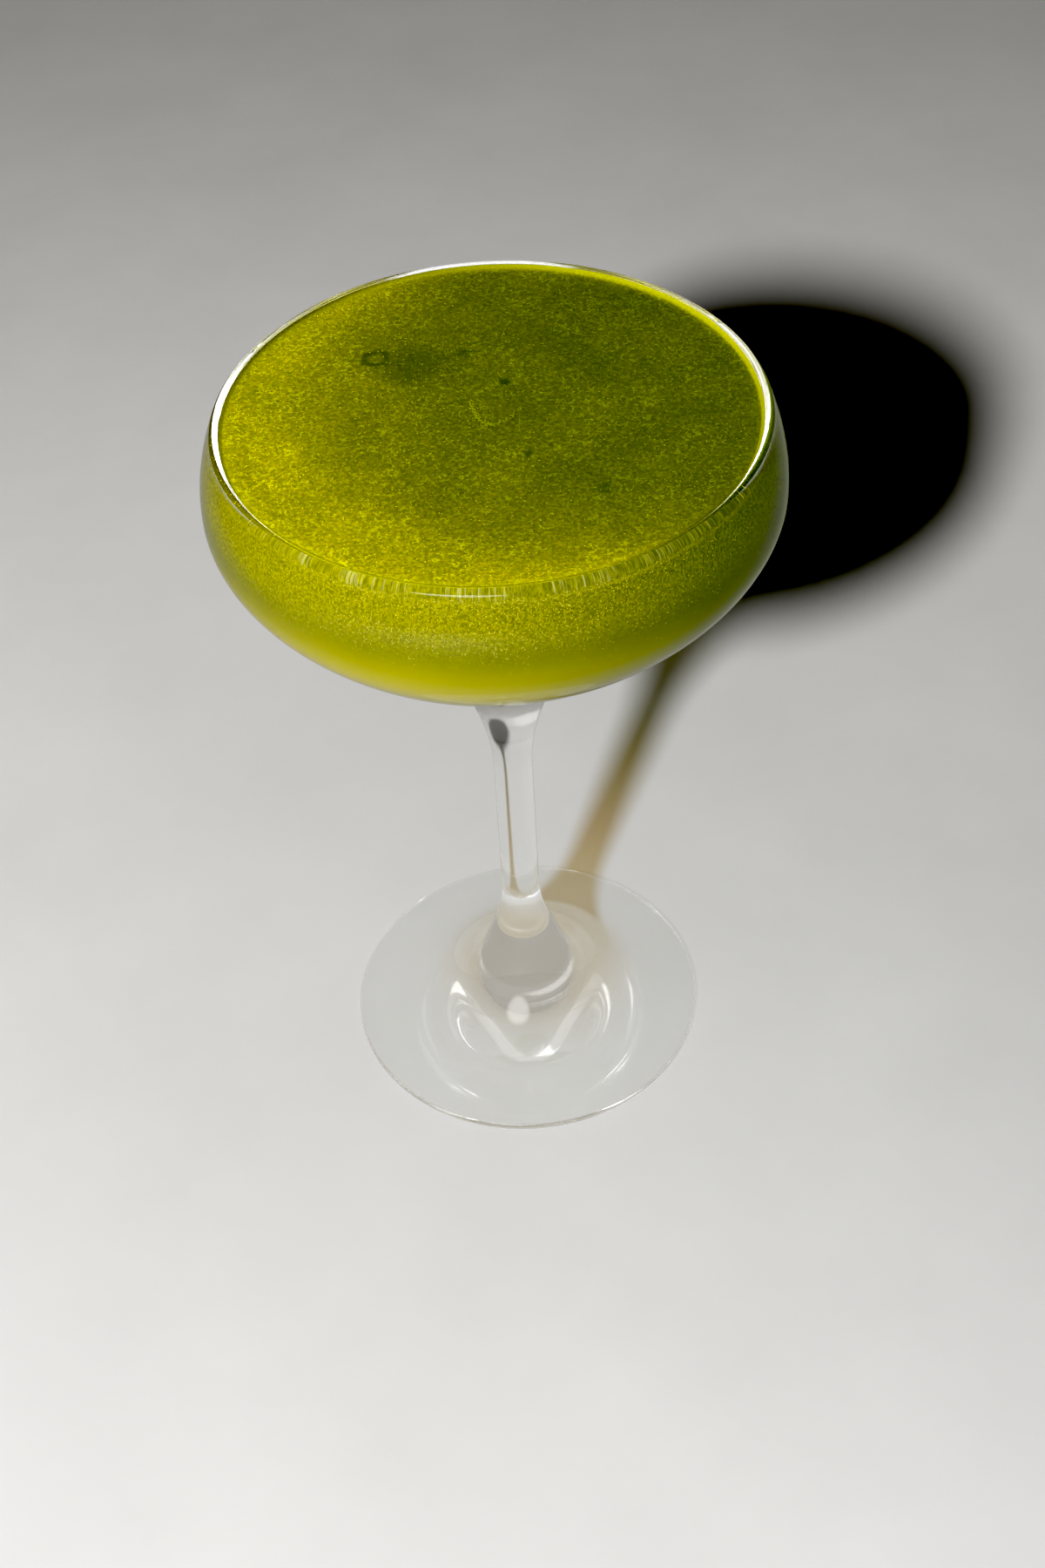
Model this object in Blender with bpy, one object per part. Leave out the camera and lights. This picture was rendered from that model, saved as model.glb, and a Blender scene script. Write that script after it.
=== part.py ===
# A green cocktail poured to the brim of a stemmed coupe glass.
# Lengths are metres, +Z is up and the origin is the middle of the foot, on the table.

import math

import bpy

SEGMENTS = 72
SHARP_ANGLE = math.radians(50)

# Whole glass
GLASS_HEIGHT = 0.1525
BELLY_RADIUS = 0.0503
BELLY_HEIGHT = 0.1389

# Rounded lip
RIM_RADIUS = 0.0475
LIP_THICKNESS = 0.0025
LIP_LEAN = math.radians(23)
LIP_OUTER_STEPS = 3
LIP_INNER_STEPS = 4

# Outer side of the bowl
UPPER_SIDE_HANDLE = 0.0045
UPPER_SIDE_STEPS = 4
LOWER_SIDE_HANDLE = 0.013
NECK_RADIUS = 0.0173
NECK_HEIGHT = 0.1055
NECK_SLOPE = math.radians(34.5)
NECK_BOWL_HANDLE = 0.0073
LOWER_SIDE_STEPS = 9

# Inner side of the bowl
BELLY_WALL = 0.0019
INNER_LOWER_HANDLE = 0.0119
INNER_FLOOR_HEIGHT = 0.1061
INNER_FLOOR_HANDLE = 0.0204
INNER_STEPS = 9

# Stem
STEM_RADIUS = 0.0038
STEM_TOP_HEIGHT = 0.071
STEM_FOOT_HEIGHT = 0.040
NECK_STEM_HANDLE = 0.0072
STEM_NECK_HANDLE = 0.0123
NECK_STEPS = 7

# Foot
FOOT_RADIUS = 0.0362
FOOT_EDGE_THICKNESS = 0.0018
FOOT_EDGE_STEPS = 4
FOOT_TOP_SLOPE = math.radians(3)
COLLAR_RADIUS = 0.0068
COLLAR_HEIGHT = 0.022
COLLAR_SLOPE = math.radians(70)
COLLAR_HANDLE = 0.008
FOOT_SPREAD_HANDLE = 0.022
COLLAR_STEPS = 5
FOOT_TOP_STEPS = 8

# Drink
LEVEL_BELOW_RIM = 0.0005
DRINK_GAP = 0.00031
DRINK_EDGE_STEPS = 3

GLASS_COLOUR = (0.93, 0.95, 0.93, 1.0)
GLASS_REFRACTION = 1.5
DRINK_COLOUR = (0.235, 0.25, 0.004, 1.0)
DRINK_ROUGHNESS = 0.35


def clear_scene():
    for thing in list(bpy.data.objects):
        bpy.data.objects.remove(thing, do_unlink=True)


def bezier(start, start_handle, end_handle, end, steps):
    """Points of one cubic curve after its start, as (radius, height)."""
    points = []
    for step in range(1, steps + 1):
        t = step / steps
        weights = ((1 - t) ** 3, 3 * (1 - t) ** 2 * t, 3 * (1 - t) * t**2, t**3)
        corners = (start, start_handle, end_handle, end)
        radius = sum(w * corner[0] for w, corner in zip(weights, corners))
        height = sum(w * corner[1] for w, corner in zip(weights, corners))
        points.append((radius, height))
    return points


def lip_arc(extra, first_angle, last_angle, steps):
    """Points round the middle of the lip, at half its thickness plus extra."""
    radius = LIP_THICKNESS / 2 + extra
    middle = (RIM_RADIUS - LIP_THICKNESS / 2, GLASS_HEIGHT - LIP_THICKNESS / 2)
    points = []
    for step in range(steps + 1):
        angle = first_angle + (last_angle - first_angle) * step / steps
        points.append((middle[0] + radius * math.cos(angle), middle[1] + radius * math.sin(angle)))
    return points


def foot_profile():
    """From the middle of the underside, round the edge and up to the collar."""
    edge = FOOT_EDGE_THICKNESS / 2
    points = [(0.0, 0.0)]
    for step in range(FOOT_EDGE_STEPS + 1):
        angle = -math.pi / 2 + math.pi * step / FOOT_EDGE_STEPS
        points.append((FOOT_RADIUS - edge + edge * math.cos(angle), edge + edge * math.sin(angle)))
    start = points[-1]
    collar = (COLLAR_RADIUS, COLLAR_HEIGHT)
    out = (
        start[0] - FOOT_SPREAD_HANDLE * math.cos(FOOT_TOP_SLOPE),
        start[1] + FOOT_SPREAD_HANDLE * math.sin(FOOT_TOP_SLOPE),
    )
    back = (
        collar[0] + COLLAR_HANDLE * math.cos(COLLAR_SLOPE),
        collar[1] - COLLAR_HANDLE * math.sin(COLLAR_SLOPE),
    )
    return points + bezier(start, out, back, collar, FOOT_TOP_STEPS)


def stem_profile():
    """From the collar up the stem to the neck of the bowl."""
    collar = (COLLAR_RADIUS, COLLAR_HEIGHT)
    stem_foot = (STEM_RADIUS, STEM_FOOT_HEIGHT)
    stem_top = (STEM_RADIUS, STEM_TOP_HEIGHT)
    neck = (NECK_RADIUS, NECK_HEIGHT)
    up = (
        collar[0] - COLLAR_HANDLE * math.cos(COLLAR_SLOPE),
        collar[1] + COLLAR_HANDLE * math.sin(COLLAR_SLOPE),
    )
    below = (STEM_RADIUS, STEM_FOOT_HEIGHT - COLLAR_HANDLE)
    above = (STEM_RADIUS, STEM_TOP_HEIGHT + STEM_NECK_HANDLE)
    under = (
        neck[0] - NECK_STEM_HANDLE * math.cos(NECK_SLOPE),
        neck[1] - NECK_STEM_HANDLE * math.sin(NECK_SLOPE),
    )
    points = bezier(collar, up, below, stem_foot, COLLAR_STEPS)
    points.append(stem_top)
    return points + bezier(stem_top, above, under, neck, NECK_STEPS)


def bowl_outer_profile():
    """From the neck out to the belly and up to the lip."""
    neck = (NECK_RADIUS, NECK_HEIGHT)
    belly = (BELLY_RADIUS, BELLY_HEIGHT)
    lip = lip_arc(0.0, LIP_LEAN, math.pi / 2, 1)[0]
    out = (
        neck[0] + NECK_BOWL_HANDLE * math.cos(NECK_SLOPE),
        neck[1] + NECK_BOWL_HANDLE * math.sin(NECK_SLOPE),
    )
    under = (BELLY_RADIUS, BELLY_HEIGHT - LOWER_SIDE_HANDLE)
    over = (BELLY_RADIUS, BELLY_HEIGHT + UPPER_SIDE_HANDLE)
    near_lip = (
        lip[0] + UPPER_SIDE_HANDLE * math.sin(LIP_LEAN),
        lip[1] - UPPER_SIDE_HANDLE * math.cos(LIP_LEAN),
    )
    lower = bezier(neck, out, under, belly, LOWER_SIDE_STEPS)
    return lower + bezier(belly, over, near_lip, lip, UPPER_SIDE_STEPS)


def bowl_inner_profile():
    """From the inner side of the lip down to the middle of the floor."""
    start = lip_arc(0.0, math.pi, math.pi + LIP_LEAN, 1)[-1]
    belly_radius = BELLY_RADIUS - BELLY_WALL
    belly = (belly_radius, BELLY_HEIGHT)
    floor = (0.0, INNER_FLOOR_HEIGHT)
    near_lip = (
        start[0] + UPPER_SIDE_HANDLE * math.sin(LIP_LEAN),
        start[1] - UPPER_SIDE_HANDLE * math.cos(LIP_LEAN),
    )
    over = (belly_radius, BELLY_HEIGHT + UPPER_SIDE_HANDLE)
    under = (belly_radius, BELLY_HEIGHT - INNER_LOWER_HANDLE)
    near_floor = (INNER_FLOOR_HANDLE, INNER_FLOOR_HEIGHT)
    points = bezier(start, near_lip, over, belly, UPPER_SIDE_STEPS)
    return points + bezier(belly, under, near_floor, floor, INNER_STEPS)


def glass_profile():
    lip = lip_arc(0.0, LIP_LEAN, math.pi / 2, LIP_OUTER_STEPS)[1:]
    lip += lip_arc(0.0, math.pi / 2, math.pi + LIP_LEAN, LIP_INNER_STEPS)[1:]
    return foot_profile() + stem_profile() + bowl_outer_profile() + lip + bowl_inner_profile()


def moved_inward(points, distance):
    """Shifts a profile that runs down to the axis square to itself, towards the drink."""
    moved = []
    for index in range(len(points) - 1):
        before = points[max(index - 1, 0)]
        after = points[index + 1]
        along = (after[0] - before[0], after[1] - before[1])
        length = math.hypot(along[0], along[1])
        radius = points[index][0] + distance * along[1] / length
        height = points[index][1] - distance * along[0] / length
        moved.append((radius, height))
    moved.append((0.0, points[-1][1] + distance))
    return moved


def drink_profile():
    """From the middle of the floor up the wall to the flat surface near the brim."""
    radius = LIP_THICKNESS / 2 + DRINK_GAP
    level_angle = math.pi - math.asin((LIP_THICKNESS / 2 - LEVEL_BELOW_RIM) / radius)
    edge = lip_arc(DRINK_GAP, level_angle, math.pi + LIP_LEAN, DRINK_EDGE_STEPS)
    down = edge + moved_inward(bowl_inner_profile(), DRINK_GAP)
    return down[::-1] + [(0.0, GLASS_HEIGHT - LEVEL_BELOW_RIM)]


def lathe(name, profile, material):
    """Turns a profile that starts and ends on the axis, running outward, up and back in."""
    rings = profile[1:-1]
    points = [(0.0, 0.0, profile[0][1])]
    for radius, height in rings:
        for segment in range(SEGMENTS):
            angle = 2 * math.pi * segment / SEGMENTS
            points.append((radius * math.cos(angle), radius * math.sin(angle), height))
    points.append((0.0, 0.0, profile[-1][1]))
    top = len(points) - 1
    last = 1 + (len(rings) - 1) * SEGMENTS
    faces = []
    for segment in range(SEGMENTS):
        after = (segment + 1) % SEGMENTS
        faces.append((0, 1 + after, 1 + segment))
        for ring in range(len(rings) - 1):
            low = 1 + ring * SEGMENTS
            high = low + SEGMENTS
            faces.append((low + segment, low + after, high + after, high + segment))
        faces.append((last + segment, last + after, top))
    mesh = bpy.data.meshes.new(name)
    mesh.from_pydata(points, [], faces)
    mesh.shade_smooth()
    mesh.set_sharp_from_angle(angle=SHARP_ANGLE)
    mesh.materials.append(material)
    thing = bpy.data.objects.new(name, mesh)
    bpy.context.scene.collection.objects.link(thing)
    return thing


def glass_material():
    material = bpy.data.materials.new("clear_glass")
    material.use_nodes = True
    shader = material.node_tree.nodes["Principled BSDF"]
    shader.inputs["Base Color"].default_value = GLASS_COLOUR
    shader.inputs["Roughness"].default_value = 0.0
    shader.inputs["Metallic"].default_value = 0.0
    shader.inputs["IOR"].default_value = GLASS_REFRACTION
    shader.inputs["Transmission Weight"].default_value = 1.0
    return material


def drink_material():
    material = bpy.data.materials.new("green_drink")
    material.use_nodes = True
    shader = material.node_tree.nodes["Principled BSDF"]
    shader.inputs["Base Color"].default_value = DRINK_COLOUR
    shader.inputs["Roughness"].default_value = DRINK_ROUGHNESS
    shader.inputs["Metallic"].default_value = 0.0
    return material


clear_scene()
lathe("coupe_glass", glass_profile(), glass_material())
lathe("green_cocktail", drink_profile(), drink_material())
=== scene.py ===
# Looks of a green cocktail in its coupe glass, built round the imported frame.
# Lengths are metres, +Z is up and the origin is the middle of the foot, on the table.

import math
import random

import bpy
import numpy as np
from mathutils import Matrix, Vector, noise


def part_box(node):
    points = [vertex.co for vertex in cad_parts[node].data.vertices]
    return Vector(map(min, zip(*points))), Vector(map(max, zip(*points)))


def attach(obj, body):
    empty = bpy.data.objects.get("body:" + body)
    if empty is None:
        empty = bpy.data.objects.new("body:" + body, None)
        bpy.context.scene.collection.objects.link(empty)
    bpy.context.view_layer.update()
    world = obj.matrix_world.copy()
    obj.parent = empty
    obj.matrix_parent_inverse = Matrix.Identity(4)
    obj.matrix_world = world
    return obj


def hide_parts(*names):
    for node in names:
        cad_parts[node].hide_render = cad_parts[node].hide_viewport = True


# Camera, fitted to the glass's outline in the photograph
CAMERA_PLACE = (0.0, -0.3013, 0.3654)
CAMERA_PITCH = math.radians(45.0)
CAMERA_YAW = math.radians(0.30)
CAMERA_ROLL = math.radians(-3.44)
CAMERA_LENS = 50.0
CAMERA_SENSOR = 36.0

# Glass: the same sizes as the solid, turned with more steps
GLASS_SEGMENTS = 256
GLASS_STEP = 0.0008
LIP_STEPS = 28
FOOT_EDGE_STEPS = 12
RIM_RADIUS = 0.0475
LIP_THICKNESS = 0.0025
LIP_LEAN = math.radians(23)
BELLY_BELOW_RIM = 0.0136
UPPER_SIDE_HANDLE = 0.0045
LOWER_SIDE_HANDLE = 0.013
NECK = (0.0173, 0.1055)
NECK_SLOPE = math.radians(34.5)
NECK_BOWL_HANDLE = 0.0073
BELLY_WALL = 0.0019
INNER_LOWER_HANDLE = 0.0119
INNER_FLOOR_HEIGHT = 0.1061
INNER_FLOOR_HANDLE = 0.0204
STEM_RADIUS = 0.0038
STEM_TOP_HEIGHT = 0.071
STEM_FOOT_HEIGHT = 0.040
NECK_STEM_HANDLE = 0.0072
STEM_NECK_HANDLE = 0.0123
FOOT_RADIUS = 0.0362
FOOT_EDGE_THICKNESS = 0.0018
FOOT_TOP_SLOPE = math.radians(3)
COLLAR = (0.0068, 0.022)
COLLAR_SLOPE = math.radians(70)
COLLAR_HANDLE = 0.008
FOOT_SPREAD_HANDLE = 0.022

# Looks of the glass, and the lamp light that it lets through: at each share of
# STEM_SHADE_TOP up the foot and stem, and in the bowl from its floor up
GLASS_TINT = (0.995, 1.0, 0.995, 1.0)
GLASS_REFRACTION = 1.5
BOWL_SHADE = (0.95, 0.95, 0.95, 1.0)
BOWL_SHADE_FADE = (0.103, 0.108)
STEM_SHADE_TOP = 0.1
STEM_SHADE = [
    (0.04, (0.955, 0.955, 0.95)),
    (0.12, (0.87, 0.80, 0.67)),
    (0.33, (0.825, 0.75, 0.587)),
    (0.42, (0.76, 0.665, 0.50)),
    (0.54, (0.636, 0.57, 0.41)),
    (0.65, (0.466, 0.43, 0.277)),
    (0.76, (0.33, 0.32, 0.24)),
]

# Floor, a hair under the foot, with painted light that makes it a little lighter further from one
# place, where the key lamp's light falls off
FLOOR_HEIGHT = -0.0003
FLOOR_BOTTOM = -0.02
FLOOR_RADIUS = 3.0
FLOOR_SIDES = 96
FLOOR_GRAIN_SIZE = 0.05
FLOOR_GREYS = [(0.3, (0.655, 0.657, 0.658)), (0.7, (0.697, 0.699, 0.7))]
FLOOR_PAINTED_LIGHT_FROM = (0.05, -0.15, 0.0)
FLOOR_PAINTED_LIGHT_REACH = (0.12, 0.45)
FLOOR_PAINTED_LIGHT_GAIN = (1.34, 1.325, 1.31)

# Key lamp: where it hangs and what it lights
KEY_PLACE = (-0.24, -0.61, 0.58)
KEY_TARGET = (0.0, 0.0, 0.12)
KEY_SIZE = 0.07
KEY_POWER = 10.5
KEY_COLOUR = (1.0, 0.99, 0.975)

# Back lamp: a narrow beam from low behind on the right, for the bowl's shaded half
BACK_PLACE = (0.536, 0.450, 0.03)
BACK_TARGET = (0.0, 0.0, 0.130)
BACK_SIZE = 0.03
BACK_BEAM = math.radians(12)
BACK_BEAM_SOFTNESS = 0.3
BACK_POWER = 14.0

# Room that only gloss and glass show: grey sides, a bright wall behind the camera and
# a window. A fade runs over the cosine of the angle from the middle.
ROOM_FILL = 0.02
ROOM_SIDES = 0.42
ROOM_WALL = 1.45
ROOM_WINDOW = 6.0
SIDES_TONE = (1.0, 0.91, 0.74, 1.0)
WALL_TONE = (1.0, 1.0, 0.99, 1.0)
WALL_MIDDLE = (-0.05, -0.87, 0.49)
WALL_FADE = (0.3, 0.75)
WINDOW_MIDDLE = (-0.25, -0.8, 0.55)
WINDOW_FADE = (0.95, 0.985)

# Shares of the room and of the floor that show in what the outside of the glass mirrors
ROOM_MIRRORED = 0.25
FLOOR_MIRRORED = 0.7

# Picture
BLACK_LEVEL = (0.04, 0.04, 0.043)
NOISE_LIMIT = 0.05
BOUNCES = 48
SHADOW_BOUNCES = 32

# Drink
DRINK_INTO_WALL = 0.00006
CONTACT_BELOW_RIM = 0.00022
MENISCUS_REACH = 0.0011
SURFACE_GRID = 200
DRINK_LIP_STEPS = 8
SIDE_STEP = 0.0015
CALM_EDGE = 0.0015
RELIEF = 0.00003
FINE_RELIEF_SIZE = 0.0011
BROAD_RELIEF_SIZE = 0.006

# Takes a place's height out of it
FLAT = (1.0, 1.0, 0.0)

# Looks that the whole drink shares
WATER_REFRACTION = 1.33
DRINK_DEPTH = 0.012
DEPTH_BY_COLOUR = (1.0, 0.9, 0.1)
# The side that the painted light on the drink's surface and side comes from
LIT_SIDE = (-0.92, -0.39)

# Looks of the surface: painted light, yellow at the wall on the lit side and fading to deep green
# across the drink
DEEP_GREEN = (0.124, 0.152, 0.0002)
PAINTED_LIGHT_YELLOW = (0.7, 0.65, 0.0002)
PAINTED_LIGHT_REACH = 0.014
PAINTED_LIGHT_WALL_RADIUS = RIM_RADIUS - 0.0015
PAINTED_LIGHT_MOST = 0.47
PAINTED_LIGHT_MOST_SOFTNESS = 0.25
DRIFT_SIZE = 0.012
DRIFT_SHADES = [(0.3, (0.84, 0.87, 1.0)), (0.7, (1.16, 1.13, 1.0))]
FRONT_WAY = (-0.5, -0.85, 0.0)
FRONT_REACH = (0.01, 0.035)
FRONT_SHADE = (0.9, 0.91, 1.0)
SPECK_SIZE = 0.00065
SPECK_SHADES = [(0.36, (0.66, 0.7, 0.6)), (0.5, (0.93, 0.94, 1)), (0.64, (1.62, 1.42, 1.0))]
SPECK_BUMP = 0.0001
SURFACE_EDGE_FADE = (0.0448, 0.0452)
SURFACE_EDGE_SHARE = 0.6
SURFACE_EDGE_COLOUR = (0.08, 0.09, 0.0002, 1.0)

# Strings of froth in the surface's colour
STRING_SIZE = 0.0018
STRING_WIDTH = (0.042, 0.008)
STRING_GAP_SIZE = 0.0011
STRING_DRIFT_SIZE = 0.007
STRING_SHARE = 0.9
STRING_GAIN = 2.1

# Dark clear patches: the ring's middle and radii, and each spot's x, y, radius and strength
SPOT_COLOUR = (0.055, 0.085, 0.0002, 1.0)
SPOT_WOBBLE = 0.0016
SPOT_WOBBLE_SIZE = 0.002
DARK_RING = (-0.0192, 0.0182)
RING_INNER_FADE = (0.0008, 0.0019)
RING_OUTER_FADE = (0.0032, 0.0021)
RING_STRENGTH = 0.75
DARK_SPOTS = [
    (-0.0138, 0.0154, 0.0058, 0.4),
    (-0.0039, 0.0183, 0.0014, 0.7),
    (0.0028, 0.0089, 0.0011, 0.95),
    (0.0056, -0.0119, 0.0010, 0.7),
    (0.0175, -0.0222, 0.0014, 0.6),
    (-0.0231, 0.0006, 0.0009, 0.5),
]

# Looks of the drink's side. The fades called heights run over z.
SIDE_DRIFT_SIZE = 0.014
SIDE_GREENS = [(0.3, (0.112, 0.122, 0.0001)), (0.7, (0.136, 0.143, 0.0001))]
UPPER_HEIGHTS = (0.139, 0.148)
UPPER_COLOUR = (0.165, 0.172, 0.0001, 1.0)
# Painted light: the side goes yellower and lighter low down, as if lit from the floor
PAINTED_BOUNCE_HEIGHTS = (0.1415, 0.130)
PAINTED_BOUNCE_COLOUR = (0.385, 0.35, 0.0001, 1.0)
# Painted light and shade: the side is lighter towards the lit side and darker away from it
PAINTED_SUN_REACH = (-0.8, 0.9)
PAINTED_SUN_SHADES = [(0.0, (0.69, 0.94, 1.0)), (0.45, (0.95, 1.02, 1.0)), (1.0, (1.45, 1.4, 1.0))]
SIDE_GRAIN_SIZE = 0.00045
SIDE_GRAIN_SHADES = [(0.4, (0.72, 0.74, 1.0)), (0.64, (1.6, 1.48, 1.0))]
SIDE_GRAIN_HEIGHTS = (0.137, 0.146)

# Pale streaks under the lip, partly the drink clinging there and partly a painted streaky
# highlight, and a thin painted highlight ring
STREAK_FINE_SIZE = 0.0005
STREAK_BROAD_SIZE = 0.006
STREAK_SQUEEZE = 0.12
STREAK_FADE = (0.74, 0.95)
STREAK_HEIGHTS = (0.1495, 0.1501)
STREAK_FRONT_FADE = (0.015, -0.015)
STREAK_AND_HIGHLIGHT_COLOUR = (0.45, 0.44, 0.15, 1.0)
# A thin painted highlight ring just under the lip
HIGHLIGHT_RING_LOWER = (0.1492, 0.1495)
HIGHLIGHT_RING_UPPER = (0.1499, 0.1496)
HIGHLIGHT_RING_SHARE = 0.18
HIGHLIGHT_RING_COLOUR = (0.5, 0.48, 0.1, 1.0)

# Where the side mirrors what grazes it: over Layer Weight's Facing, and more under the
# lip everywhere but in front
MIRROR_FADE = (0.37, 0.46)
LIP_MIRROR_MORE = 0.13
LIP_MIRROR_HEIGHTS = (0.141, 0.147)
LIP_MIRROR_BACK_FADE = (-0.034, -0.018)

# Fine froth
FROTH_SEED = 7
SURFACE_BUBBLES = 3600
SURFACE_BUBBLE_SIZE = (0.00007, 0.00018)
SURFACE_BUBBLE_RISE = 0.45
SURFACE_FROTH_REACH = 0.0445
BUBBLE_STRING_SIZE = 0.0022
BUBBLE_STRING_SLICE = 0.3
BUBBLE_STRING_WIDTH = 0.09
LOOSE_BUBBLES = 0.1
CURL_BUBBLES = 260
CURL_CORNERS = [(-0.0033, 0.0042), (-0.0026, -0.0040), (0.0008, -0.0056), (0.0052, 0.0012)]
CURL_SPREAD = 0.00022
CURL_THINNING = 1.4
WALL_BUBBLES = 3000
WALL_BUBBLE_SIZE = (0.00005, 0.0001)
WALL_BUBBLE_RISE = 0.5
WALL_BUBBLE_TOP = 0.0025
WALL_BUBBLE_DROP = 0.0045
WALL_BUBBLE_MIDDLE = math.radians(-98)
WALL_BUBBLE_SPREAD = math.radians(32)
BUBBLE_SIDES = 6
BUBBLE_RINGS = ((1.0, -0.3), (0.8, 0.6))
BUBBLE_SHADE_SIZE = 0.0004
BUBBLE_SHADES = [(0.35, (0.8, 0.82, 1.0)), (0.65, (1.25, 1.2, 1.0))]
SURFACE_BUBBLE_GAIN = 1.6
WALL_BUBBLE_COLOUR = (0.54, 0.5, 0.06, 1.0)
WALL_TO_SURFACE = (0.0017, 0.0012)


def cubic_weights(t):
    """How much each of a cubic curve's four corners counts at t, from 0 to 1."""
    return ((1 - t) ** 3, 3 * (1 - t) ** 2 * t, 3 * (1 - t) * t**2, t**3)


def bezier(start, start_handle, end_handle, end):
    """Points of one cubic curve after its start, about GLASS_STEP apart."""
    corners = [Vector(p) for p in (start, start_handle, end_handle, end)]
    length = sum((b - a).length for a, b in zip(corners, corners[1:]))
    steps = max(2, round(length / GLASS_STEP))
    points = []
    for step in range(1, steps + 1):
        weights = cubic_weights(step / steps)
        point = sum((w * c for w, c in zip(weights, corners)), Vector((0.0, 0.0)))
        points.append(tuple(point))
    return points


def shifted(point, distance, slope):
    """The point that lies distance away, in the direction slope."""
    return (point[0] + distance * math.cos(slope), point[1] + distance * math.sin(slope))


def arc(middle, radius, first_angle, last_angle, steps):
    points = []
    for step in range(steps + 1):
        angle = first_angle + (last_angle - first_angle) * step / steps
        points.append(shifted(middle, radius, angle))
    return points


def lip_middle():
    """Middle of the lip's round section."""
    return (RIM_RADIUS - LIP_THICKNESS / 2, GLASS_HEIGHT - LIP_THICKNESS / 2)


def inner_wall():
    """From the inner side of the lip down to the middle of the bowl's floor."""
    start = shifted(lip_middle(), LIP_THICKNESS / 2, math.pi + LIP_LEAN)
    belly = (BELLY_RADIUS - BELLY_WALL, BELLY_HEIGHT)
    near_lip = shifted(start, UPPER_SIDE_HANDLE, LIP_LEAN - math.pi / 2)
    over = (belly[0], belly[1] + UPPER_SIDE_HANDLE)
    under = (belly[0], belly[1] - INNER_LOWER_HANDLE)
    near_floor = (INNER_FLOOR_HANDLE, INNER_FLOOR_HEIGHT)
    down = [start] + bezier(start, near_lip, over, belly)
    return down + bezier(belly, under, near_floor, (0.0, INNER_FLOOR_HEIGHT))


def glass_profile():
    """From the middle of the foot's underside, up the outside and down the inside."""
    edge = FOOT_EDGE_THICKNESS / 2
    points = [(0.0, 0.0)]
    points += arc((FOOT_RADIUS - edge, edge), edge, -math.pi / 2, math.pi / 2, FOOT_EDGE_STEPS)
    start = points[-1]
    out = shifted(start, FOOT_SPREAD_HANDLE, math.pi - FOOT_TOP_SLOPE)
    points += bezier(start, out, shifted(COLLAR, COLLAR_HANDLE, -COLLAR_SLOPE), COLLAR)
    stem_foot = (STEM_RADIUS, STEM_FOOT_HEIGHT)
    up = shifted(COLLAR, COLLAR_HANDLE, math.pi - COLLAR_SLOPE)
    points += bezier(COLLAR, up, (STEM_RADIUS, STEM_FOOT_HEIGHT - COLLAR_HANDLE), stem_foot)
    stem_top = (STEM_RADIUS, STEM_TOP_HEIGHT)
    points += bezier(stem_foot, stem_foot, stem_top, stem_top)
    above = (STEM_RADIUS, STEM_TOP_HEIGHT + STEM_NECK_HANDLE)
    under_neck = shifted(NECK, -NECK_STEM_HANDLE, NECK_SLOPE)
    points += bezier(stem_top, above, under_neck, NECK)
    belly = (BELLY_RADIUS, BELLY_HEIGHT)
    under_belly = (BELLY_RADIUS, BELLY_HEIGHT - LOWER_SIDE_HANDLE)
    points += bezier(NECK, shifted(NECK, NECK_BOWL_HANDLE, NECK_SLOPE), under_belly, belly)
    lip = arc(lip_middle(), LIP_THICKNESS / 2, LIP_LEAN, math.pi + LIP_LEAN, LIP_STEPS)
    near_lip = shifted(lip[0], UPPER_SIDE_HANDLE, LIP_LEAN - math.pi / 2)
    points += bezier(belly, (BELLY_RADIUS, BELLY_HEIGHT + UPPER_SIDE_HANDLE), near_lip, lip[0])
    return points + lip[1:] + inner_wall()[1:]


def new_object(name, points, faces, materials):
    mesh = bpy.data.meshes.new(name)
    mesh.from_pydata(points, [], faces)
    mesh.shade_smooth()
    for material in materials:
        mesh.materials.append(material)
    thing = bpy.data.objects.new(name, mesh)
    bpy.context.scene.collection.objects.link(thing)
    return thing


def lathe(name, profile, segments, material):
    """Turns a profile that starts and ends on the axis, running outward, up and back in."""
    rings = profile[1:-1]
    points = [(0.0, 0.0, profile[0][1])]
    for radius, height in rings:
        for segment in range(segments):
            angle = 2 * math.pi * segment / segments
            points.append((radius * math.cos(angle), radius * math.sin(angle), height))
    points.append((0.0, 0.0, profile[-1][1]))
    top = len(points) - 1
    last = 1 + (len(rings) - 1) * segments
    faces = []
    for segment in range(segments):
        after = (segment + 1) % segments
        faces.append((0, 1 + after, 1 + segment))
        for ring in range(len(rings) - 1):
            low = 1 + ring * segments
            high = low + segments
            faces.append((low + segment, low + after, high + after, high + segment))
        faces.append((last + segment, last + after, top))
    return new_object(name, points, faces, [material])


def drink_side():
    """The inner wall, pushed a little into the glass, from the contact line down to the axis."""
    lip_radius = LIP_THICKNESS / 2 - DRINK_INTO_WALL
    rise = LIP_THICKNESS / 2 - CONTACT_BELOW_RIM
    contact_angle = math.pi - math.asin(rise / lip_radius)
    points = arc(lip_middle(), lip_radius, contact_angle, math.pi + LIP_LEAN, DRINK_LIP_STEPS)
    wall = inner_wall()
    for before, point, after in zip(wall, wall[1:], wall[2:]):
        along = Vector(after) - Vector(before)
        out = Vector((-along[1], along[0])).normalized()
        moved = Vector(point) + out * DRINK_INTO_WALL
        if (moved - Vector(points[-1])).length > SIDE_STEP:
            points.append(tuple(moved))
    return points


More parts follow.
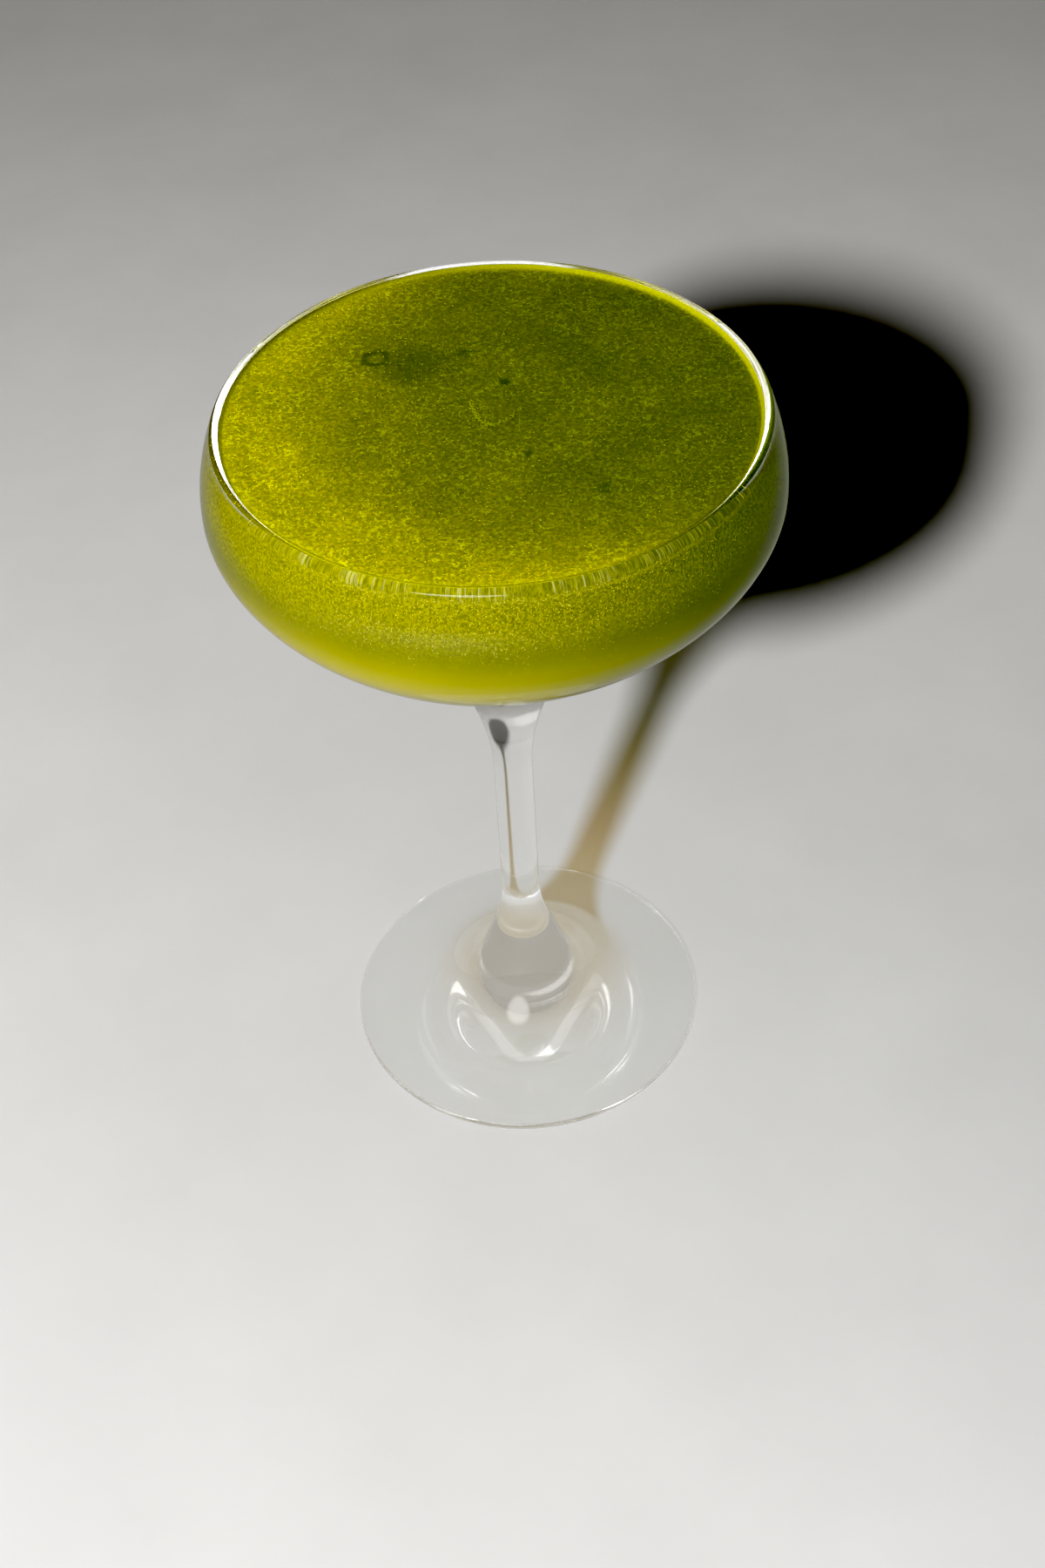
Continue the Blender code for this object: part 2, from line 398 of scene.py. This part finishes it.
def disc_place(column, row):
    """A point of a square grid, moved on to the unit disc with even spacing."""
    a = 2 * column / SURFACE_GRID - 1
    b = 2 * row / SURFACE_GRID - 1
    if a == 0 and b == 0:
        return 0.0, 0.0
    if abs(a) > abs(b):
        radius, angle = a, math.pi / 4 * b / a
    else:
        radius, angle = b, math.pi / 2 - math.pi / 4 * a / b
    return radius * math.cos(angle), radius * math.sin(angle)


def grid_border():
    """Grid places round the square's border, in order."""
    n = SURFACE_GRID
    border = [(n, row) for row in range(n)] + [(n - column, n) for column in range(n)]
    border += [(0, n - row) for row in range(n)] + [(column, 0) for column in range(n)]
    return border


def surface_height(x, y, edge_radius):
    """The drink's surface: flat, drawn up at the glass, with a fine froth relief."""
    inward = edge_radius - math.hypot(x, y)
    rise = (DRINK_LEVEL_DROP - CONTACT_BELOW_RIM) * math.exp(-inward / MENISCUS_REACH)
    calm = min(1.0, inward / CALM_EDGE)
    fine = noise.fractal(Vector((x, y, 0.0)) / FINE_RELIEF_SIZE, 1.0, 2.1, 3)
    broad = noise.noise(Vector((x, y, 0.0)) / BROAD_RELIEF_SIZE)
    return DRINK_LEVEL + rise + calm * (RELIEF * fine + RELIEF * broad)


def make_drink(materials):
    """A grid for the surface, rings down the side and a fan at the bottom, as one mesh."""
    side = drink_side()
    edge_radius = side[0][0]
    count = SURFACE_GRID + 1
    points = []
    for row in range(count):
        for column in range(count):
            x, y = disc_place(column, row)
            x, y = x * edge_radius, y * edge_radius
            points.append((x, y, surface_height(x, y, edge_radius)))
    faces = []
    for row in range(SURFACE_GRID):
        for column in range(SURFACE_GRID):
            low = row * count + column
            faces.append((low, low + 1, low + count + 1, low + count))
    top_faces = len(faces)
    previous = [row * count + column for column, row in grid_border()]
    around = len(previous)
    for place in previous:
        x, y, _ = points[place]
        points[place] = (x, y, side[0][1])
    start_angle = math.atan2(points[previous[0]][1], points[previous[0]][0])
    for radius, height in side[1:]:
        ring = []
        for index in range(around):
            angle = start_angle + 2 * math.pi * index / around
            ring.append(len(points))
            points.append((radius * math.cos(angle), radius * math.sin(angle), height))
        for index in range(around):
            after = (index + 1) % around
            faces.append((previous[index], ring[index], ring[after], previous[after]))
        previous = ring
    bottom = len(points)
    points.append((0.0, 0.0, side[-1][1]))
    for index in range(around):
        faces.append((previous[index], bottom, previous[(index + 1) % around]))
    drink = new_object("cloudy_drink", points, faces, materials)
    slots = np.ones(len(faces), dtype=np.int32)
    slots[:top_faces] = 0
    drink.data.polygons.foreach_set("material_index", slots)
    return drink


def froth_place(draw):
    """A random spot on the surface, more often along the froth's strings."""
    while True:
        angle = draw.uniform(0.0, 2 * math.pi)
        radius = SURFACE_FROTH_REACH * math.sqrt(draw.random())
        x, y = radius * math.cos(angle), radius * math.sin(angle)
        place = Vector((x, y, BUBBLE_STRING_SLICE))
        string = abs(noise.noise(place / BUBBLE_STRING_SIZE))
        on_string = max(0.0, 1.0 - string / BUBBLE_STRING_WIDTH)
        if draw.random() < LOOSE_BUBBLES + (1 - LOOSE_BUBBLES) * on_string:
            return x, y


def curl_place(draw):
    """A spot on the light curl of froth near the middle, which thins out to its end."""
    weights = cubic_weights(draw.random() ** CURL_THINNING)
    x = sum(w * corner[0] for w, corner in zip(weights, CURL_CORNERS))
    y = sum(w * corner[1] for w, corner in zip(weights, CURL_CORNERS))
    return x + draw.gauss(0.0, CURL_SPREAD), y + draw.gauss(0.0, CURL_SPREAD)


def wall_spot(draw, side):
    """A spot on the drink's side under the lip, mostly in front, and the way out of it."""
    angle = draw.gauss(WALL_BUBBLE_MIDDLE, WALL_BUBBLE_SPREAD)
    height = GLASS_HEIGHT - WALL_BUBBLE_TOP - abs(draw.gauss(0.0, WALL_BUBBLE_DROP))
    for (radius, top), (next_radius, low) in zip(side, side[1:]):
        if top >= height > low:
            share = (top - height) / (top - low)
            here = radius + (next_radius - radius) * share
            lean = math.atan2(next_radius - radius, top - low)
            break
    place = Vector((here * math.cos(angle), here * math.sin(angle), height))
    level = math.cos(lean)
    out = Vector((level * math.cos(angle), level * math.sin(angle), math.sin(lean)))
    return place, out


def add_bubble(points, faces, place, out, radius, height):
    """A low dome of BUBBLE_SIDES sides, standing on place and pointing along out."""
    across = out.orthogonal().normalized()
    along = out.cross(across)
    first = len(points)
    for share, rise in BUBBLE_RINGS:
        for side in range(BUBBLE_SIDES):
            angle = 2 * math.pi * side / BUBBLE_SIDES
            flat = across * math.cos(angle) + along * math.sin(angle)
            points.append(tuple(place + flat * radius * share + out * height * rise))
    points.append(tuple(place + out * height))
    top = first + 2 * BUBBLE_SIDES
    for side in range(BUBBLE_SIDES):
        after = (side + 1) % BUBBLE_SIDES
        upper = first + BUBBLE_SIDES
        faces.append((first + side, first + after, upper + after, upper + side))
        faces.append((upper + side, upper + after, top))


def make_froth(material):
    """Fine bubbles that float on the drink and cling to the glass, as one mesh."""
    draw = random.Random(FROTH_SEED)
    side = drink_side()
    edge_radius = side[0][0]
    points = []
    faces = []
    for index in range(SURFACE_BUBBLES + CURL_BUBBLES):
        x, y = froth_place(draw) if index < SURFACE_BUBBLES else curl_place(draw)
        radius = draw.uniform(*SURFACE_BUBBLE_SIZE)
        place = Vector((x, y, surface_height(x, y, edge_radius)))
        up = Vector((0.0, 0.0, 1.0))
        add_bubble(points, faces, place, up, radius, SURFACE_BUBBLE_RISE * radius)
    for index in range(WALL_BUBBLES):
        place, out = wall_spot(draw, side)
        radius = draw.uniform(*WALL_BUBBLE_SIZE)
        add_bubble(points, faces, place, out, radius, WALL_BUBBLE_RISE * radius)
    return new_object("fine_froth", points, faces, [material])


class Nodes:
    """A material's node tree, with short calls to add and join nodes."""

    def __init__(self, name):
        self.material = bpy.data.materials.new(name)
        self.material.use_nodes = True
        self.tree = self.material.node_tree
        self.shader = self.tree.nodes["Principled BSDF"]
        self.output = self.tree.nodes["Material Output"]

    def add(self, kind, **settings):
        node = self.tree.nodes.new(kind)
        for key, value in settings.items():
            setattr(node, key, value)
        return node

    def join(self, source, target):
        self.tree.links.new(source, target)

    def set(self, **values):
        """Sets the shader's own sockets, named with _ for each space."""
        for key, value in values.items():
            self.shader.inputs[key.replace("_", " ")].default_value = value

    def place(self):
        """A point's place on the object, in metres."""
        return self.add("ShaderNodeTexCoord").outputs["Object"]

    def axes(self):
        """The place's x, y and z, one value each."""
        split = self.add("ShaderNodeSeparateXYZ")
        self.join(self.place(), split.inputs[0])
        return split.outputs

    def noise(self, size, detail=4.0, roughness=0.55, place=None):
        """A noise whose features are about size metres."""
        node = self.add("ShaderNodeTexNoise")
        node.inputs["Scale"].default_value = 1.0 / size
        node.inputs["Detail"].default_value = detail
        node.inputs["Roughness"].default_value = roughness
        self.join(place or self.place(), node.inputs["Vector"])
        return node.outputs["Fac"]

    def math(self, operation, first, second=None, third=None):
        node = self.add("ShaderNodeMath", operation=operation)
        for socket, source in zip(node.inputs, (first, second, third)):
            if isinstance(source, bpy.types.NodeSocket):
                self.join(source, socket)
            elif source is not None:
                socket.default_value = source
        return node.outputs[0]

    def vector(self, operation, first, second=None):
        """A vector operation; a number comes out of DOT_PRODUCT, LENGTH and DISTANCE."""
        node = self.add("ShaderNodeVectorMath", operation=operation)
        for socket, source in zip(node.inputs, (first, second)):
            if isinstance(source, bpy.types.NodeSocket):
                self.join(source, socket)
            elif source is not None:
                socket.default_value = source
        number = operation in ("DOT_PRODUCT", "LENGTH", "DISTANCE")
        return node.outputs["Value" if number else "Vector"]

    def fade(self, value, start, end):
        """Goes smoothly from 0 to 1 as value goes from start to end."""
        node = self.add("ShaderNodeMapRange", interpolation_type="SMOOTHSTEP")
        node.inputs["From Min"].default_value = min(start, end)
        node.inputs["From Max"].default_value = max(start, end)
        node.inputs["To Min"].default_value = 0.0 if start < end else 1.0
        node.inputs["To Max"].default_value = 1.0 if start < end else 0.0
        self.join(value, node.inputs["Value"])
        return node.outputs[0]

    def ramp(self, value, stops):
        node = self.add("ShaderNodeValToRGB")
        while len(node.color_ramp.elements) < len(stops):
            node.color_ramp.elements.new(0.5)
        for element, (position, colour) in zip(node.color_ramp.elements, stops):
            element.position = position
            element.color = (*colour, 1.0)
        self.join(value, node.inputs["Fac"])
        return node.outputs["Color"]

    def mix(self, factor, first, second, blend="MIX"):
        node = self.add("ShaderNodeMix", data_type="RGBA", blend_type=blend)
        for source, socket in ((factor, 0), (first, 6), (second, 7)):
            if isinstance(source, bpy.types.NodeSocket):
                self.join(source, node.inputs[socket])
            else:
                node.inputs[socket].default_value = source
        return node.outputs[2]

    def times(self, first, second):
        return self.mix(1.0, first, second, "MULTIPLY")

    def show(self, factor, first, second):
        """Joins two shaders to the output: first where factor is 0, second where it is 1."""
        mix = self.add("ShaderNodeMixShader")
        self.join(factor, mix.inputs[0])
        self.join(first.outputs[0], mix.inputs[1])
        self.join(second.outputs[0], mix.inputs[2])
        self.join(mix.outputs[0], self.output.inputs["Surface"])

    def bump(self, height, distance, strength):
        node = self.add("ShaderNodeBump")
        node.inputs["Strength"].default_value = strength
        node.inputs["Distance"].default_value = distance
        self.join(height, node.inputs["Height"])
        self.join(node.outputs["Normal"], self.shader.inputs["Normal"])


def glass_material():
    """Clear glass. Lamp light passes straight through it, less at the bent stem and neck."""
    nodes = Nodes("clear_glass")
    nodes.set(Roughness=0.0, IOR=GLASS_REFRACTION, Transmission_Weight=1.0)
    nodes.set(Base_Color=GLASS_TINT)
    z = nodes.axes()[2]
    stem_shade = nodes.ramp(nodes.math("MULTIPLY", z, 1.0 / STEM_SHADE_TOP), STEM_SHADE)
    bowl = nodes.add("ShaderNodeMapRange")
    bowl.inputs["From Min"].default_value, bowl.inputs["From Max"].default_value = BOWL_SHADE_FADE
    nodes.join(z, bowl.inputs["Value"])
    passing = nodes.add("ShaderNodeBsdfTransparent")
    nodes.join(nodes.mix(bowl.outputs[0], stem_shade, BOWL_SHADE), passing.inputs["Color"])
    path = nodes.add("ShaderNodeLightPath")
    nodes.show(path.outputs["Is Shadow Ray"], nodes.shader, passing)
    return nodes.material


def painted_light_from_lit_side(nodes):
    """Painted light: 1 at the wall on the lit side, falling off across the drink as if light came
    in there.
    """
    flat = nodes.vector("MULTIPLY", nodes.place(), FLAT)
    towards = nodes.vector("DOT_PRODUCT", flat, (*LIT_SIDE, 0.0))
    square = nodes.vector("DOT_PRODUCT", flat, flat)
    rest = nodes.math("SUBTRACT", PAINTED_LIGHT_WALL_RADIUS**2, square)
    under = nodes.math("MULTIPLY_ADD", towards, towards, rest)
    chord = nodes.math("SUBTRACT", nodes.math("SQRT", nodes.math("MAXIMUM", under, 0.0)), towards)
    near = nodes.math("EXPONENT", nodes.math("DIVIDE", chord, -PAINTED_LIGHT_REACH))
    return nodes.math("SMOOTH_MIN", near, PAINTED_LIGHT_MOST, PAINTED_LIGHT_MOST_SOFTNESS)


def dark_spots(nodes):
    """Clear patches where the froth has opened: 1 inside a patch."""
    wobble = nodes.add("ShaderNodeTexNoise")
    wobble.inputs["Scale"].default_value = 1.0 / SPOT_WOBBLE_SIZE
    nodes.join(nodes.place(), wobble.inputs["Vector"])
    centred = nodes.vector("SUBTRACT", wobble.outputs["Color"], (0.5, 0.5, 0.5))
    shift = nodes.vector("SCALE", centred)
    shift.node.inputs["Scale"].default_value = SPOT_WOBBLE
    moved = nodes.vector("ADD", nodes.vector("MULTIPLY", nodes.place(), FLAT), shift)
    ring = nodes.vector("DISTANCE", moved, (*DARK_RING, 0.0))
    inner = nodes.fade(ring, *RING_INNER_FADE)
    outer = nodes.fade(ring, *RING_OUTER_FADE)
    total = nodes.math("MULTIPLY", nodes.math("MULTIPLY", inner, outer), RING_STRENGTH)
    for x, y, radius, strength in DARK_SPOTS:
        away = nodes.vector("DISTANCE", moved, (x, y, 0.0))
        spot = nodes.math("MULTIPLY", nodes.fade(away, radius * 1.3, radius * 0.5), strength)
        total = nodes.math("MAXIMUM", total, spot)
    return total


def cloudy(nodes):
    """Light goes deep into the drink, red and green much further than blue."""
    nodes.set(Subsurface_Weight=1.0, Subsurface_Scale=DRINK_DEPTH, Subsurface_Anisotropy=0.0)
    nodes.set(Subsurface_Radius=DEPTH_BY_COLOUR)


def surface_colour(nodes, gain=1.0):
    """Painted light, yellow towards the lit side and deep green away from it, in soft drifts and
    a little darker towards the front.
    """
    deep = [gain * c for c in DEEP_GREEN]
    lit_yellow = [gain * c for c in PAINTED_LIGHT_YELLOW]
    # Painted light: deep green away from the lit side, yellow at its wall
    base = nodes.mix(painted_light_from_lit_side(nodes), (*deep, 1.0), (*lit_yellow, 1.0))
    drift = nodes.noise(DRIFT_SIZE, detail=4.0, roughness=0.6)
    base = nodes.times(base, nodes.ramp(drift, DRIFT_SHADES))
    forward = nodes.fade(nodes.vector("DOT_PRODUCT", nodes.place(), FRONT_WAY), *FRONT_REACH)
    return nodes.times(base, nodes.ramp(forward, [(0.0, (1.0, 1.0, 1.0)), (1.0, FRONT_SHADE)]))


def froth_strings(nodes):
    """Thin broken strings of froth: lines where a noise crosses its middle value."""
    path = nodes.math("SUBTRACT", nodes.noise(STRING_SIZE, 3.0, 0.6), 0.5)
    line = nodes.fade(nodes.math("ABSOLUTE", path), *STRING_WIDTH)
    broken = nodes.fade(nodes.noise(STRING_GAP_SIZE, 2.0, 0.5), 0.44, 0.56)
    drifts = nodes.fade(nodes.noise(STRING_DRIFT_SIZE, 2.0, 0.5), 0.38, 0.6)
    share = nodes.math("MULTIPLY", nodes.math("MULTIPLY", line, broken), STRING_SHARE)
    return nodes.math("MULTIPLY", share, nodes.math("MULTIPLY_ADD", drifts, 0.6, 0.4))


def surface_material():
    """The drink's surface: specks and strings of froth, dark patches and a darker edge."""
    nodes = Nodes("drink_surface")
    specks = nodes.noise(SPECK_SIZE, detail=4.0, roughness=0.75)
    colour = nodes.times(surface_colour(nodes), nodes.ramp(specks, SPECK_SHADES))
    colour = nodes.mix(froth_strings(nodes), colour, surface_colour(nodes, STRING_GAIN))
    colour = nodes.mix(dark_spots(nodes), colour, SPOT_COLOUR)
    rim = nodes.vector("LENGTH", nodes.vector("MULTIPLY", nodes.place(), FLAT))
    edge = nodes.math("MULTIPLY", nodes.fade(rim, *SURFACE_EDGE_FADE), SURFACE_EDGE_SHARE)
    colour = nodes.mix(edge, colour, SURFACE_EDGE_COLOUR)
    nodes.join(colour, nodes.shader.inputs["Base Color"])
    nodes.set(Roughness=0.3, IOR=WATER_REFRACTION)
    nodes.bump(specks, SPECK_BUMP, 0.5)
    cloudy(nodes)
    return nodes.material


def froth_material():
    """Bubbles: paler than the drink, with a wet gloss."""
    nodes = Nodes("froth")
    lighter = nodes.ramp(nodes.noise(BUBBLE_SHADE_SIZE, 2.0, 0.6), BUBBLE_SHADES)
    low, high = (GLASS_HEIGHT - below for below in WALL_TO_SURFACE)
    above = nodes.fade(nodes.axes()[2], low, high)
    # Floating bubbles take the surface's colour, its painted light included
    colour = nodes.mix(above, WALL_BUBBLE_COLOUR, surface_colour(nodes, SURFACE_BUBBLE_GAIN))
    nodes.join(nodes.times(colour, lighter), nodes.shader.inputs["Base Color"])
    nodes.set(Roughness=0.25, IOR=WATER_REFRACTION)
    return nodes.material


def side_colour(nodes, z):
    """Green in the middle and lighter high up, with painted light: yellower and lighter low down,
    lighter on the lit side and darker away from it.
    """
    base = nodes.ramp(nodes.noise(SIDE_DRIFT_SIZE, detail=3.0, roughness=0.5), SIDE_GREENS)
    base = nodes.mix(nodes.fade(z, *UPPER_HEIGHTS), base, UPPER_COLOUR)
    # Painted light low down
    base = nodes.mix(nodes.fade(z, *PAINTED_BOUNCE_HEIGHTS), base, PAINTED_BOUNCE_COLOUR)
    scale = 1.0 / BELLY_RADIUS
    flat = nodes.vector("MULTIPLY", nodes.place(), (scale, scale, 0.0))
    towards = nodes.vector("DOT_PRODUCT", flat, (*LIT_SIDE, 0.0))
    # Painted light and shade across the side, from the lit side
    base = nodes.times(base, nodes.ramp(nodes.fade(towards, *PAINTED_SUN_REACH), PAINTED_SUN_SHADES))
    grain = nodes.ramp(nodes.noise(SIDE_GRAIN_SIZE, 3.0, 0.7), SIDE_GRAIN_SHADES)
    return nodes.mix(nodes.fade(z, *SIDE_GRAIN_HEIGHTS), base, nodes.times(base, grain))


def lip_streaks_and_highlight(nodes, x, y, z):
    """Upright streaks under the lip, in front, partly the drink clinging there and partly a
    painted highlight: a noise that is drawn out along z.
    """
    turn = nodes.math("MULTIPLY", nodes.math("ARCTAN2", y, x), RIM_RADIUS)
    joined = nodes.add("ShaderNodeCombineXYZ")
    nodes.join(turn, joined.inputs[0])
    nodes.join(nodes.math("MULTIPLY", z, STREAK_SQUEEZE), joined.inputs[1])
    fine = nodes.noise(STREAK_FINE_SIZE, 3.0, 0.8, joined.outputs[0])
    broad = nodes.noise(STREAK_BROAD_SIZE, 2.0, 0.5, joined.outputs[0])
    lines = nodes.fade(nodes.math("MULTIPLY_ADD", broad, 0.5, fine), *STREAK_FADE)
    band = nodes.math("MULTIPLY", lines, nodes.fade(z, *STREAK_HEIGHTS))
    return nodes.math("MULTIPLY", band, nodes.fade(y, *STREAK_FRONT_FADE))


def side_material():
    """The drink against the glass: cloudy, and a mirror to what grazes it."""
    nodes = Nodes("drink_side")
    x, y, z = nodes.axes()
    colour = nodes.mix(lip_streaks_and_highlight(nodes, x, y, z), side_colour(nodes, z), STREAK_AND_HIGHLIGHT_COLOUR)
    # A thin painted highlight ring just under the lip
    lower = nodes.fade(z, *HIGHLIGHT_RING_LOWER)
    ring = nodes.math("MULTIPLY", lower, nodes.fade(z, *HIGHLIGHT_RING_UPPER))
    colour = nodes.mix(nodes.math("MULTIPLY", ring, HIGHLIGHT_RING_SHARE), colour, HIGHLIGHT_RING_COLOUR)
    nodes.join(colour, nodes.shader.inputs["Base Color"])
    nodes.set(Roughness=0.6, IOR=WATER_REFRACTION, Specular_IOR_Level=0.0)
    cloudy(nodes)
    mirror = nodes.add("ShaderNodeBsdfGlossy")
    mirror.inputs["Roughness"].default_value = 0.0
    mirror.inputs["Color"].default_value = (1.0, 1.0, 1.0, 1.0)
    facing = nodes.add("ShaderNodeLayerWeight").outputs["Facing"]
    under_lip = nodes.fade(z, *LIP_MIRROR_HEIGHTS)
    lip_share = nodes.math("MULTIPLY", under_lip, nodes.fade(y, *LIP_MIRROR_BACK_FADE))
    grazing = nodes.math("MULTIPLY_ADD", lip_share, LIP_MIRROR_MORE, facing)
    nodes.show(nodes.fade(grazing, *MIRROR_FADE), nodes.shader, mirror)
    return nodes.material


def floor_material():
    """Pale floor with a faint grain, and painted light that makes it lighter further out. What
    the glass mirrors of it is duller.
    """
    nodes = Nodes("pale_floor")
    colour = nodes.ramp(nodes.noise(FLOOR_GRAIN_SIZE, detail=6.0, roughness=0.6), FLOOR_GREYS)
    # Painted light: lighter further from one place, where the key lamp's light falls off
    away = nodes.vector("DISTANCE", nodes.place(), FLOOR_PAINTED_LIGHT_FROM)
    lighter = [(0.0, (1.0, 1.0, 1.0)), (1.0, FLOOR_PAINTED_LIGHT_GAIN)]
    colour = nodes.times(colour, nodes.ramp(nodes.fade(away, *FLOOR_PAINTED_LIGHT_REACH), lighter))
    path = nodes.add("ShaderNodeLightPath")
    outside = nodes.math("SUBTRACT", 1.0, path.outputs["Is Transmission Ray"])
    mirrored = nodes.math("MULTIPLY", path.outputs["Is Glossy Ray"], outside)
    dimmed = nodes.times(colour, (*[FLOOR_MIRRORED] * 3, 1.0))
    nodes.join(nodes.mix(mirrored, colour, dimmed), nodes.shader.inputs["Base Color"])
    nodes.set(Roughness=0.55, Specular_IOR_Level=0.3)
    return nodes.material


def make_camera():
    data = bpy.data.cameras.new("camera")
    data.lens = CAMERA_LENS
    data.sensor_width = CAMERA_SENSOR
    data.sensor_fit = "AUTO"
    data.clip_start = 0.01
    camera = bpy.data.objects.new("camera", data)
    bpy.context.scene.collection.objects.link(camera)
    forward = Vector((
        math.sin(CAMERA_YAW) * math.cos(CAMERA_PITCH),
        math.cos(CAMERA_YAW) * math.cos(CAMERA_PITCH),
        -math.sin(CAMERA_PITCH),
    ))
    level = Vector((math.cos(CAMERA_YAW), -math.sin(CAMERA_YAW), 0.0))
    upright = level.cross(forward)
    right = math.cos(CAMERA_ROLL) * level + math.sin(CAMERA_ROLL) * upright
    up = math.cos(CAMERA_ROLL) * upright - math.sin(CAMERA_ROLL) * level
    turn = Matrix((right, up, -forward)).transposed().to_4x4()
    camera.matrix_world = Matrix.Translation(CAMERA_PLACE) @ turn
    bpy.context.scene.camera = camera


def hang_lamp(name, data, place, target):
    """Aims a lamp at target. Glass and gloss don't show the lamp itself."""
    lamp = bpy.data.objects.new(name, data)
    bpy.context.scene.collection.objects.link(lamp)
    lamp.location = place
    aim = Vector(target) - Vector(place)
    lamp.rotation_euler = aim.to_track_quat("-Z", "Y").to_euler()
    lamp.visible_transmission = False
    lamp.visible_glossy = False


def make_key_light():
    data = bpy.data.lights.new("key_light", "AREA")
    data.shape = "DISK"
    data.size = KEY_SIZE
    data.energy = KEY_POWER
    data.color = KEY_COLOUR
    hang_lamp("key_light", data, KEY_PLACE, KEY_TARGET)


def make_back_light():
    data = bpy.data.lights.new("back_light", "SPOT")
    data.energy = BACK_POWER
    data.spot_size = BACK_BEAM
    data.spot_blend = BACK_BEAM_SOFTNESS
    data.shadow_soft_size = BACK_SIZE
    hang_lamp("back_light", data, BACK_PLACE, BACK_TARGET)


def sky_patch(tree, direction, middle, fade_from_to, low, high):
    """Strength that goes from low to high as the direction nears the patch's middle."""
    towards = tree.nodes.new("ShaderNodeVectorMath")
    towards.operation = "DOT_PRODUCT"
    towards.inputs[1].default_value = Vector(middle).normalized()
    tree.links.new(direction, towards.inputs[0])
    fade = tree.nodes.new("ShaderNodeMapRange")
    fade.interpolation_type = "SMOOTHSTEP"
    fade.inputs["From Min"].default_value, fade.inputs["From Max"].default_value = fade_from_to
    fade.inputs["To Min"].default_value = low
    fade.inputs["To Max"].default_value = high
    tree.links.new(towards.outputs["Value"], fade.inputs["Value"])
    return fade.outputs[0]


def room_strength(tree, path, wall, window):
    """Wall and window, with the wall dimmed for rays that haven't been inside the glass."""
    inside = tree.nodes.new("ShaderNodeMapRange")
    inside.inputs["To Min"].default_value = ROOM_MIRRORED
    tree.links.new(path.outputs["Transmission Depth"], inside.inputs["Value"])
    seen = tree.nodes.new("ShaderNodeMath")
    seen.operation = "MULTIPLY"
    tree.links.new(wall, seen.inputs[0])
    tree.links.new(inside.outputs[0], seen.inputs[1])
    both = tree.nodes.new("ShaderNodeMath")
    tree.links.new(seen.outputs[0], both.inputs[0])
    tree.links.new(window, both.inputs[1])
    return both.outputs[0]


def make_room():
    """Dim light on what is dull, and a room for what mirrors or bends light to see."""
    world = bpy.data.worlds.new("studio")
    bpy.context.scene.world = world
    world.use_nodes = True
    world.cycles.sampling_method = "NONE"
    tree = world.node_tree
    background = tree.nodes["Background"]
    direction = tree.nodes.new("ShaderNodeTexCoord").outputs["Generated"]
    wall = sky_patch(tree, direction, WALL_MIDDLE, WALL_FADE, ROOM_SIDES, ROOM_WALL)
    window = sky_patch(tree, direction, WINDOW_MIDDLE, WINDOW_FADE, 0.0, ROOM_WINDOW)
    # The tone turns with the wall's strength, and is all WALL_TONE from a strength of 1
    tone = tree.nodes.new("ShaderNodeMix")
    tone.data_type = "RGBA"
    tone.inputs[6].default_value = SIDES_TONE
    tone.inputs[7].default_value = WALL_TONE
    tree.links.new(wall, tone.inputs[0])
    tree.links.new(tone.outputs[2], background.inputs["Color"])
    path = tree.nodes.new("ShaderNodeLightPath")
    choose = tree.nodes.new("ShaderNodeMapRange")
    tree.links.new(path.outputs["Diffuse Depth"], choose.inputs["Value"])
    tree.links.new(room_strength(tree, path, wall, window), choose.inputs["To Min"])
    choose.inputs["To Max"].default_value = ROOM_FILL
    tree.links.new(choose.outputs[0], background.inputs["Strength"])


def make_floor():
    outline = [(0.0, FLOOR_BOTTOM), (FLOOR_RADIUS, FLOOR_BOTTOM)]
    outline += [(FLOOR_RADIUS, FLOOR_HEIGHT), (0.0, FLOOR_HEIGHT)]
    floor = lathe("floor", outline, FLOOR_SIDES, floor_material())
    floor.data.shade_flat()


def make_studio():
    make_key_light()
    make_back_light()
    make_room()
    make_floor()
    scene = bpy.context.scene
    scene.view_settings.view_transform = "Standard"
    scene.view_settings.use_curve_mapping = True
    scene.view_settings.curve_mapping.black_level = BLACK_LEVEL
    scene.cycles.use_adaptive_sampling = True
    scene.cycles.adaptive_threshold = NOISE_LIMIT
    scene.cycles.max_bounces = BOUNCES
    scene.cycles.transmission_bounces = BOUNCES
    scene.cycles.glossy_bounces = BOUNCES
    scene.cycles.transparent_max_bounces = SHADOW_BOUNCES


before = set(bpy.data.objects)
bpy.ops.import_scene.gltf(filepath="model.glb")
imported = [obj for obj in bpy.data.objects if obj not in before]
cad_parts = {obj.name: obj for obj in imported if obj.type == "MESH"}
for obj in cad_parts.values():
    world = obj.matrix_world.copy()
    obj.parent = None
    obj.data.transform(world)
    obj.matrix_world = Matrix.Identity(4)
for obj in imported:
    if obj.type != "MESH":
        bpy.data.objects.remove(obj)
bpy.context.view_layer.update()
GLASS_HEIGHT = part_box("coupe_glass")[1].z
BELLY_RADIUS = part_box("coupe_glass")[1].x
BELLY_HEIGHT = GLASS_HEIGHT - BELLY_BELOW_RIM
DRINK_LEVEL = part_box("green_cocktail")[1].z
DRINK_LEVEL_DROP = GLASS_HEIGHT - DRINK_LEVEL

make_camera()
make_studio()

glass = lathe("clear_coupe", glass_profile(), GLASS_SEGMENTS, glass_material())
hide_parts("coupe_glass")
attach(glass, "root")

drink = make_drink([surface_material(), side_material()])
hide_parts("green_cocktail")
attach(drink, "root")

froth = make_froth(froth_material())
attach(froth, "root")
